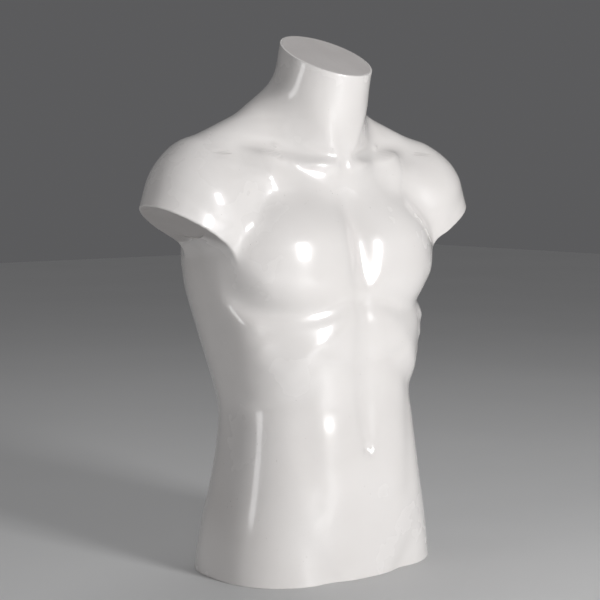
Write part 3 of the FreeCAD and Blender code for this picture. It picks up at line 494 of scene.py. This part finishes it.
# Ageing that every painted, moulded or plated face shares: cloudy tone, dust specks, fine
# scratches and a faint unevenness.
ageing, given, out = new_group(
    "ageing",
    [("Coordinates", "NodeSocketVector", None), ("Cloud size", "NodeSocketFloat", 12.0),
     ("Grain size", "NodeSocketFloat", 900.0), ("Specks", "NodeSocketFloat", 0.02),
     ("Speck size", "NodeSocketFloat", 260.0)],
    [("Cloud", "NodeSocketFloat"), ("Grain", "NodeSocketFloat"), ("Speck", "NodeSocketFloat"),
     ("Scratch", "NodeSocketFloat"), ("Swell", "NodeSocketFloat")])
cloud = make_node(ageing, "ShaderNodeTexNoise", Vector=given.outputs[0], Scale=given.outputs[1],
                  Detail=4.0, Roughness=0.55)
grain = make_node(ageing, "ShaderNodeTexNoise", Vector=given.outputs[0], Scale=given.outputs[2],
                  Detail=2.0)
speck = make_node(ageing, "ShaderNodeTexVoronoi", Vector=given.outputs[0], Scale=given.outputs[4])
sown = make_node(ageing, "ShaderNodeTexNoise", Vector=given.outputs[0], Scale=31.0, Detail=1.0)
few = make_node(ageing, "ShaderNodeMapRange", Value=sown.outputs[0], From_Min=0.62, From_Max=0.70)
near = make_node(ageing, "ShaderNodeMath", {"operation": "LESS_THAN"}, n_0=speck.outputs[0],
                 n_1=given.outputs[3])
seen = make_node(ageing, "ShaderNodeMath", {"operation": "MULTIPLY"}, n_0=near.outputs[0],
                 n_1=few.outputs[0])
drawn = make_node(ageing, "ShaderNodeMapping", Vector=given.outputs[0])
drawn.inputs["Rotation"].default_value = (0.4, 0.9, 0.3)
drawn.inputs["Scale"].default_value = (260.0, 9.0, 9.0)
streak = make_node(ageing, "ShaderNodeTexNoise", Vector=drawn.outputs[0], Scale=1.0, Detail=3.0)
scratch = make_node(ageing, "ShaderNodeMapRange", Value=streak.outputs[0], From_Min=0.66,
                    From_Max=0.74)
swell = make_node(ageing, "ShaderNodeTexNoise", Vector=given.outputs[0], Scale=given.outputs[1],
                  Detail=0.0)
for number, source in enumerate((cloud.outputs[0], grain.outputs[0], seen.outputs[0],
                                 scratch.outputs[0], swell.outputs[0])):
    ageing.links.new(source, out.inputs[number])


def aged(tree, **sizes):
    """The ageing group on object coordinates."""
    place = make_node(tree, "ShaderNodeTexCoord")
    item = tree.nodes.new("ShaderNodeGroup")
    item.node_tree = ageing
    tree.links.new(place.outputs["Object"], item.inputs["Coordinates"])
    for name, value in sizes.items():
        item.inputs[name.replace("_", " ")].default_value = value
    return item.outputs


def mix(tree, factor, first, second):
    """Two colours mixed by a factor."""
    item = tree.nodes.new("ShaderNodeMix")
    item.data_type = "RGBA"
    for socket, value in ((item.inputs[0], factor), (item.inputs[6], first),
                          (item.inputs[7], second)):
        if isinstance(value, bpy.types.NodeSocket):
            tree.links.new(value, socket)
        elif isinstance(value, tuple):
            socket.default_value = (*value, 1)
        else:
            socket.default_value = value
    return item.outputs[2]


def spread(tree, value, low, high):
    """A noise value stretched between two numbers."""
    item = make_node(tree, "ShaderNodeMapRange", Value=value, From_Min=0.3, From_Max=0.7,
                     To_Min=low, To_Max=high)
    return item.outputs[0]


def bumped(tree, shader, height, distance, below=None, socket="Normal"):
    """A fine bump on a shader's normal, laid over another bump if one is given."""
    item = make_node(tree, "ShaderNodeBump", Height=height, Distance=distance, Strength=1.0)
    if below is not None:
        tree.links.new(below, item.inputs["Normal"])
    tree.links.new(item.outputs[0], shader.inputs[socket])
    return item.outputs[0]


gel_coat, tree, shader = new_material(
    "gel_coat", IOR=1.5, Coat_Roughness=0.09, Coat_IOR=1.5)
marks = aged(tree, Cloud_size=7.0, Grain_size=420.0, Specks=0.07, Speck_size=190.0)
tone = mix(tree, spread(tree, marks["Cloud"], 0.0, 1.0), (0.755, 0.725, 0.705),
           (0.79, 0.765, 0.75))
tone = mix(tree, marks["Speck"], tone, (0.16, 0.13, 0.11))
# Painted shade: the sawn cut faces at the arms are coloured a darker grey than the gel coat, for
# the dim light on the flat cuts. Their lower coat weight and higher roughness are the satin finish.
sawn = make_node(tree, "ShaderNodeAttribute", {"attribute_name": "sawn_face_satin_and_shade"}).outputs["Fac"]
cut_face_shade = mix(tree, spread(tree, marks["Grain"], 0.0, 1.0), (0.49, 0.465, 0.455),
            (0.55, 0.525, 0.515))
tone = mix(tree, sawn, tone, cut_face_shade)
tree.links.new(tone, shader.inputs["Base Color"])
shine = make_node(tree, "ShaderNodeMapRange", Value=sawn, To_Min=0.9, To_Max=0.0)
tree.links.new(shine.outputs[0], shader.inputs["Coat Weight"])
dull = make_node(tree, "ShaderNodeMath", {"operation": "MULTIPLY_ADD"}, n_0=sawn, n_1=0.25)
tree.links.new(spread(tree, marks["Cloud"], 0.20, 0.30), dull.inputs[2])
tree.links.new(dull.outputs[0], shader.inputs["Roughness"])
peel = bumped(tree, shader, marks["Grain"], 0.00002)
bumped(tree, shader, marks["Swell"], 0.0003, below=peel, socket="Coat Normal")

laminate, tree, shader = new_material("raw_laminate", IOR=1.5, Coat_Weight=0.3)
marks = aged(tree, Cloud_size=22.0, Grain_size=150.0)
tone = mix(tree, spread(tree, marks["Grain"], 0.0, 1.0), (0.52, 0.50, 0.36), (0.72, 0.70, 0.56))
tree.links.new(tone, shader.inputs["Base Color"])
tree.links.new(spread(tree, marks["Cloud"], 0.30, 0.65), shader.inputs["Roughness"])
bumped(tree, shader, marks["Grain"], 0.0006)

for skin, node in ((front_skin, "front_shell"), (back_skin, "back_shell")):
    skin.data.materials.append(gel_coat)
    skin.data.materials.append(laminate)
    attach(skin, "form")
    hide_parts(node)


def dress(material, slot, *names):
    """A CAD node's own mesh under a material."""
    for name in names:
        item = nodes[name]
        item.data.materials.clear()
        item.data.materials.append(material)


# ---------------------------------------------------------------- neck and arm plates
# Flat plates of the same laminate, sawn to the cut, sanded, painted satin white and glued in
# flush: one across the neck and one in each arm cut.

# The plates are coloured a darker grey than the white they are painted: painted shade on the flat
# cut faces. The scratches and specks are real marks.
cap_plate, tree, shader = new_material("cap_plate", IOR=1.46)
marks = aged(tree, Cloud_size=16.0, Grain_size=1500.0, Specks=0.08, Speck_size=300.0)
tone = mix(tree, spread(tree, marks["Cloud"], 0.0, 1.0), (0.50, 0.475, 0.465), (0.55, 0.525, 0.515))
tone = mix(tree, marks["Scratch"], tone, (0.44, 0.42, 0.41))
tone = mix(tree, marks["Speck"], tone, (0.20, 0.17, 0.15))
tree.links.new(tone, shader.inputs["Base Color"])
tree.links.new(spread(tree, marks["Grain"], 0.42, 0.56), shader.inputs["Roughness"])
bumped(tree, shader, marks["Grain"], 0.00004)
dress(cap_plate, "cap_plate", "neck_cap", "left_arm_cap", "right_arm_cap")

# ---------------------------------------------------------------- tapes inside the seams
# Strips of chopped glass mat wetted with resin and laid over the joint from inside: one down
# each side and one over each shoulder. They hold the half shells together.

seam_tape, tree, shader = new_material("seam_tape", IOR=1.5, Coat_Weight=0.4)
marks = aged(tree, Cloud_size=30.0, Grain_size=240.0)
tone = mix(tree, spread(tree, marks["Grain"], 0.0, 1.0), (0.60, 0.58, 0.44), (0.80, 0.78, 0.66))
tree.links.new(tone, shader.inputs["Base Color"])
tree.links.new(spread(tree, marks["Cloud"], 0.25, 0.6), shader.inputs["Roughness"])
bumped(tree, shader, marks["Grain"], 0.0005)
dress(seam_tape, "seam_tape", "left_side_seam_tape", "right_side_seam_tape",
      "left_shoulder_seam_tape", "right_shoulder_seam_tape")

# ---------------------------------------------------------------- board, blocks and screws
# A plywood board cut to the hollow of the hips lies up against six softwood blocks, which are
# glued to the wall. A zinc plated countersunk screw goes up through it into each block.

wood, given, out = new_group(
    "wood", [("Coordinates", "NodeSocketVector", None), ("Light", "NodeSocketColor", None),
             ("Dark", "NodeSocketColor", None), ("Stretch", "NodeSocketVector", None)],
    [("Color", "NodeSocketColor"), ("Figure", "NodeSocketFloat")])
drawn = make_node(wood, "ShaderNodeVectorMath", {"operation": "MULTIPLY"}, n_0=given.outputs[0],
                  n_1=given.outputs[3])
rings = make_node(wood, "ShaderNodeTexNoise", Vector=drawn.outputs[0], Scale=1.0, Detail=6.0,
                  Roughness=0.6, Distortion=0.4)
pores = make_node(wood, "ShaderNodeTexNoise", Vector=drawn.outputs[0], Scale=9.0, Detail=2.0)
figure = make_node(wood, "ShaderNodeMapRange", Value=rings.outputs[0], From_Min=0.35,
                   From_Max=0.65)
tone = mix(wood, figure.outputs[0], given.outputs[1], given.outputs[2])
pore = make_node(wood, "ShaderNodeMapRange", Value=pores.outputs[0], From_Min=0.60,
                 From_Max=0.75, To_Max=0.5)
tone = mix(wood, pore.outputs[0], tone, (0.20, 0.12, 0.06))
wood.links.new(tone, out.inputs[0])
wood.links.new(rings.outputs[0], out.inputs[1])


def grown(name, light, dark, stretch):
    """A wood between two colours, its grain drawn out along the shortest stretch."""
    material, tree, shader = new_material(name, IOR=1.45)
    place = make_node(tree, "ShaderNodeTexCoord")
    item = tree.nodes.new("ShaderNodeGroup")
    item.node_tree = wood
    tree.links.new(place.outputs["Object"], item.inputs[0])
    item.inputs[1].default_value = (*light, 1)
    item.inputs[2].default_value = (*dark, 1)
    item.inputs[3].default_value = stretch
    tree.links.new(item.outputs[0], shader.inputs["Base Color"])
    tree.links.new(spread(tree, item.outputs[1], 0.5, 0.75), shader.inputs["Roughness"])
    bumped(tree, shader, item.outputs[1], 0.0003)
    return material


dress(grown("plywood", (0.66, 0.50, 0.32), (0.52, 0.36, 0.20), (8.0, 110.0, 560.0)), "plywood",
      "base_board")
dress(grown("softwood", (0.74, 0.58, 0.38), (0.60, 0.42, 0.24), (120.0, 120.0, 9.0)), "softwood",
      "board_cleats")

# ---------------------------------------------------------------- steel fittings
# A turned flange with a welded socket tube and boss, satin nickel plated, bolted up to tee nuts
# in the board. Bolts, washers, tee nuts and screws are bright zinc plated.


def metal(name, tone, worn, low, high):
    """A plated metal between two tones and two roughnesses."""
    material, tree, shader = new_material(name, Metallic=1.0)
    marks = aged(tree, Cloud_size=60.0, Grain_size=2600.0)
    color = mix(tree, spread(tree, marks["Cloud"], 0.0, 1.0), tone, worn)
    tree.links.new(color, shader.inputs["Base Color"])
    tree.links.new(spread(tree, marks["Grain"], low, high), shader.inputs["Roughness"])
    bumped(tree, shader, marks["Scratch"], 0.00002)
    return material


zinc = metal("zinc_steel", (0.66, 0.66, 0.64), (0.52, 0.53, 0.53), 0.24, 0.42)
nickel = metal("plated_steel", (0.52, 0.51, 0.49), (0.42, 0.41, 0.40), 0.28, 0.40)
dress(zinc, "zinc_steel", "board_screws", "flange_washers", "tee_nuts")
dress(nickel, "plated_steel", "stand_flange", "stand_socket", "clamp_boss")


def add_piece(name, bm, material, body_name, slot, *stands_for):
    """A piece from a bmesh, closed and smooth, with its creases kept sharp."""
    bmesh.ops.remove_doubles(bm, verts=bm.verts[:], dist=1e-6)
    bmesh.ops.recalc_face_normals(bm, faces=bm.faces[:])
    for f in bm.faces:
        f.smooth = True
    for e in bm.edges:
        e.smooth = e.calc_face_angle(0) < 0.6
    mesh = bpy.data.meshes.new(name)
    bm.to_mesh(mesh)
    bm.free()
    mesh.materials.append(material)
    item = bpy.data.objects.new(name, mesh)
    bpy.context.scene.collection.objects.link(item)
    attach(item, body_name)
    if stands_for:
        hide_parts(*stands_for)
    return item


# Hexagon bolts with forged, chamfered heads.
BOLT_RING = 0.040
HEAD_RADIUS, HEAD_HEIGHT, HEAD_Z = 0.005774, 0.004, 0.0614
SHANK_RADIUS, SHANK_LENGTH, SHANK_Z = 0.003, 0.024, 0.0754
bm = bmesh.new()
for number in range(4):
    bearing = math.radians(45 + 90 * number)
    where = Matrix.Translation((BOLT_RING * math.cos(bearing), BOLT_RING * math.sin(bearing), 0))
    head = bmesh.ops.create_cone(bm, cap_ends=True, segments=6, radius1=HEAD_RADIUS,
                                 radius2=HEAD_RADIUS, depth=HEAD_HEIGHT,
                                 matrix=where @ Matrix.Translation((0, 0, HEAD_Z)))["verts"]
    lower = [e for v in head for e in v.link_edges if all(w.co.z < 0.060 for w in e.verts)]
    bmesh.ops.bevel(bm, geom=list(set(lower)), offset=0.0006, segments=2, profile=0.5,
                    affect="EDGES", material=-1)
    bmesh.ops.create_cone(bm, cap_ends=True, segments=32, radius1=SHANK_RADIUS,
                          radius2=SHANK_RADIUS, depth=SHANK_LENGTH,
                          matrix=where @ Matrix.Translation((0, 0, SHANK_Z)))
add_piece("hexagon_bolts", bm, zinc, "form", "zinc_steel", "flange_bolts")

# Weld run between the socket tube and the flange, laid by hand in overlapping ripples.
BEAD_RADIUS, WELD_RADIUS, WELD_Z = 0.0019, 0.0172, 0.0647
bm = bmesh.new()
bmesh.ops.create_circle(bm, segments=16, radius=BEAD_RADIUS,
                        matrix=Matrix.Translation((WELD_RADIUS, 0, WELD_Z))
                        @ Matrix.Rotation(math.pi / 2, 4, "X"))
bmesh.ops.spin(bm, geom=bm.verts[:] + bm.edges[:], cent=(0, 0, 0), axis=(0, 0, 1),
               angle=math.tau, steps=240, use_merge=True)
for v in bm.verts:
    swell = 1 + 0.10 * math.sin(46 * math.atan2(v.co.y, v.co.x) + 900 * v.co.z)
    core = Vector((v.co.x, v.co.y, 0)).normalized() * WELD_RADIUS + Vector((0, 0, WELD_Z))
    v.co = core + (v.co - core) * swell
add_piece("socket_weld", bm, nickel, "form", "plated_steel")

# ---------------------------------------------------------------- clamp screw, pad and knob
# A zinc plated screw with a rolled thread, a moulded knob of black plastic at one end, and a
# brass pad at the other that swivels on a stem and bears on the stand pole.

brass = metal("brass_tip", (0.76, 0.58, 0.28), (0.60, 0.44, 0.20), 0.20, 0.36)
dress(brass, "brass_tip", "pressure_pad")

ALONG = Matrix.Translation((0, 0, 0.036)) @ Matrix.Rotation(-math.pi / 2, 4, "X")
PITCH = 0.00125
TURNS = 22
ROOT_RADIUS, CREST_RADIUS, THREAD_START = 0.00335, 0.00398, 0.0168
bm = bmesh.new()
last = bm.verts.new((ROOT_RADIUS, 0, THREAD_START))
for number in range(2 * TURNS):
    crest = number % 2 == 0
    step = bm.verts.new((CREST_RADIUS if crest else ROOT_RADIUS, 0, last.co.z + PITCH / 2))
    bm.edges.new((last, step))
    last = step
bmesh.ops.spin(bm, geom=bm.verts[:] + bm.edges[:], cent=(0, 0, 0), axis=(0, 0, 1),
               dvec=(0, 0, PITCH / 48), angle=math.tau, steps=48)
bmesh.ops.remove_doubles(bm, verts=bm.verts[:], dist=2e-5)
bmesh.ops.holes_fill(bm, edges=[e for e in bm.edges if e.is_boundary], sides=0)
bm.transform(ALONG)
add_piece("threaded_clamp_screw", bm, zinc, "clamp_thread", "zinc_steel", "clamp_screw")

black, tree, shader = new_material("black_knob", IOR=1.5)
marks = aged(tree, Cloud_size=90.0, Grain_size=1400.0, Specks=0.1)
tone = mix(tree, spread(tree, marks["Cloud"], 0.0, 1.0), (0.018, 0.018, 0.019),
           (0.035, 0.034, 0.033))
tree.links.new(tone, shader.inputs["Base Color"])
tree.links.new(spread(tree, marks["Grain"], 0.34, 0.50), shader.inputs["Roughness"])
bumped(tree, shader, marks["Grain"], 0.00006)

# The knob is a six-lobed disc with soft edges and a raised round boss on its end.
KNOB_RADIUS, KNOB_START, KNOB_LENGTH = 0.015, 0.0335, 0.0132
LOBES, LOBE_DEPTH = 6, 0.18
bm = bmesh.new()
disc = bmesh.ops.create_circle(bm, cap_ends=True, segments=180, radius=KNOB_RADIUS)["verts"]
for v in disc:
    lobe = 0.5 + 0.5 * math.cos(LOBES * math.atan2(v.co.y, v.co.x))
    v.co *= 1 - LOBE_DEPTH * lobe ** 3
bmesh.ops.translate(bm, vec=(0, 0, KNOB_START), verts=disc)
grown_end = bmesh.ops.extrude_face_region(bm, geom=bm.faces[:])["geom"]
top = [item for item in grown_end if isinstance(item, bmesh.types.BMVert)]
bmesh.ops.translate(bm, vec=(0, 0, KNOB_LENGTH), verts=top)
outline = [e for e in bm.edges if abs(e.verts[0].co.z - e.verts[1].co.z) < 1e-6]
bmesh.ops.bevel(bm, geom=outline, offset=0.0014, segments=4, profile=0.5, affect="EDGES",
                material=-1)
end = max(bm.faces, key=lambda f: (round(f.calc_center_median().z, 6), f.calc_area()))
bmesh.ops.inset_region(bm, faces=[end], thickness=0.0050, depth=0.0)
bmesh.ops.inset_region(bm, faces=[end], thickness=0.0004, depth=0.0008)
bm.transform(ALONG)
add_piece("lobed_knob", bm, black, "clamp_thread", "black_knob", "clamp_knob")

# ---------------------------------------------------------------- floor, light and camera
# A flat, pale studio floor. Soft boxes stand in front, to the left, beside the camera and above,
# and a wide, weak light comes from behind.

bm = bmesh.new()
bmesh.ops.create_grid(bm, x_segments=2, y_segments=2, size=6)
mesh = bpy.data.meshes.new("studio_floor")
bm.to_mesh(mesh)
bm.free()
floor = bpy.data.objects.new("studio_floor", mesh)
bpy.context.scene.collection.objects.link(floor)
paper, tree, shader = new_material("studio_floor", Roughness=0.6)
marks = aged(tree, Cloud_size=1.5, Grain_size=500.0)
tone = mix(tree, marks["Cloud"], (0.60, 0.60, 0.60), (0.66, 0.66, 0.66))
tree.links.new(tone, shader.inputs["Base Color"])
floor.data.materials.append(paper)

world = bpy.data.worlds.new("studio")
world.use_nodes = True
bpy.context.scene.world = world
sky = next(n for n in world.node_tree.nodes if n.type == "BACKGROUND")
sky.inputs[0].default_value = (0.30, 0.30, 0.31, 1)
sky.inputs[1].default_value = 0.35


def soft_box(name, place, target, width, height, power, mirrored=True):
    """A rectangular light aimed at a point. One that isn't mirrored leaves no highlight."""
    light = bpy.data.lights.new(name, "AREA")
    light.shape = "RECTANGLE"
    light.size = width
    light.size_y = height
    light.energy = power
    item = bpy.data.objects.new(name, light)
    item.location = place
    item.rotation_euler = (Vector(target) - Vector(place)).to_track_quat("-Z", "Y").to_euler()
    item.visible_glossy = mirrored
    bpy.context.scene.collection.objects.link(item)


soft_box("key_box", (0.25, -2.15, 0.80), (0, 0, 0.4), 0.45, 1.0, 37)
soft_box("side_box", (-2.0, 0.1, 0.62), (0, 0, 0.35), 0.35, 0.9, 3.5)
soft_box("camera_box", (-1.62, -2.15, 1.3), (0, 0, 0.4), 0.6, 0.6, 6, mirrored=False)
soft_box("top_box", (0.5, 0.5, 2.3), (0, 0, 0.5), 1.0, 1.0, 8, mirrored=False)

glow = bpy.data.lights.new("back_glow", "SUN")
glow.energy = 0.35
glow.angle = math.radians(70)
item = bpy.data.objects.new("back_glow", glow)
item.rotation_euler = (math.radians(-42), 0, math.radians(-20))
item.visible_glossy = False
bpy.context.scene.collection.objects.link(item)

bpy.context.scene.view_settings.view_transform = "Standard"
lens = bpy.data.cameras.new("camera")
lens.sensor_width = 36
lens.lens = 88.9
lens.clip_start = 0.05
lens.clip_end = 50
camera = bpy.data.objects.new("camera", lens)
camera.location = (-1.275, -1.5531, 0.536)
camera.rotation_euler = (math.radians(84.9), 0, math.radians(-39))
bpy.context.scene.collection.objects.link(camera)
bpy.context.scene.camera = camera
